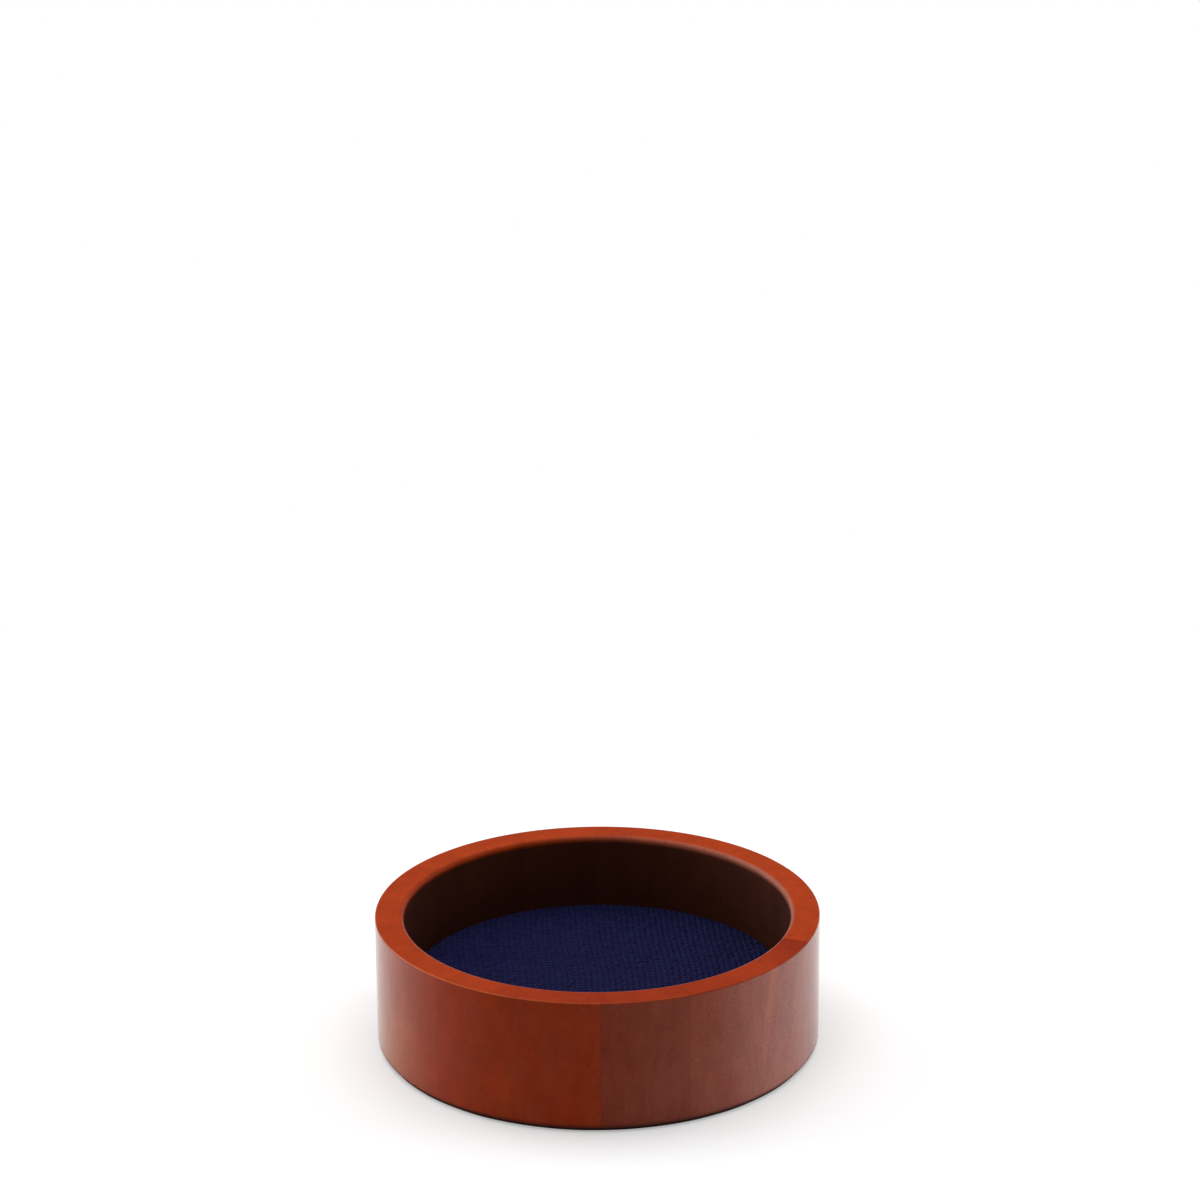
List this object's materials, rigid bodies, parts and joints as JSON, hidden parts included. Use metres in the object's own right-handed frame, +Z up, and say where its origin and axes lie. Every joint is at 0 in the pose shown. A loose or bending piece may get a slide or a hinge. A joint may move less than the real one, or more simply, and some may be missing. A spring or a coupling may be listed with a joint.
{
  "type": "wine bottle coaster",
  "caption": "Round wine bottle coaster: an upright ring of glued wooden staves with a rounded inner rim, a padded needlepoint floor for the bottle and a felt underside.",
  "frame": {"origin": "centre of the underside, where the felt pad meets the table", "axes": "+Z up along the ring's axis, -Y towards the viewer of the picture, +X to that viewer's right"},
  "size_m": [0.146, 0.146, 0.0444],
  "materials": {
    "stained_wood": "reddish-brown stain under satin lacquer",
    "base_plywood": "raw plywood",
    "board": "smooth hardboard",
    "wadding": "soft wadding",
    "needlepoint": "navy wool tent stitch on canvas",
    "felt": "dark felt"
  },
  "bodies": {
    "root": {"stave_01": "stained_wood", "stave_02": "stained_wood", "stave_03": "stained_wood", "stave_04": "stained_wood", "stave_05": "stained_wood", "stave_06": "stained_wood", "stave_07": "stained_wood", "stave_08": "stained_wood", "stave_09": "stained_wood", "stave_10": "stained_wood", "stave_11": "stained_wood", "stave_12": "stained_wood", "stave_13": "stained_wood", "stave_14": "stained_wood", "stave_15": "stained_wood", "stave_16": "stained_wood", "base_disc": "base_plywood", "mounting_board": "board", "padding": "wadding", "needlepoint_canvas": "needlepoint", "felt_pad": "felt"}
  },
  "joints": []
}
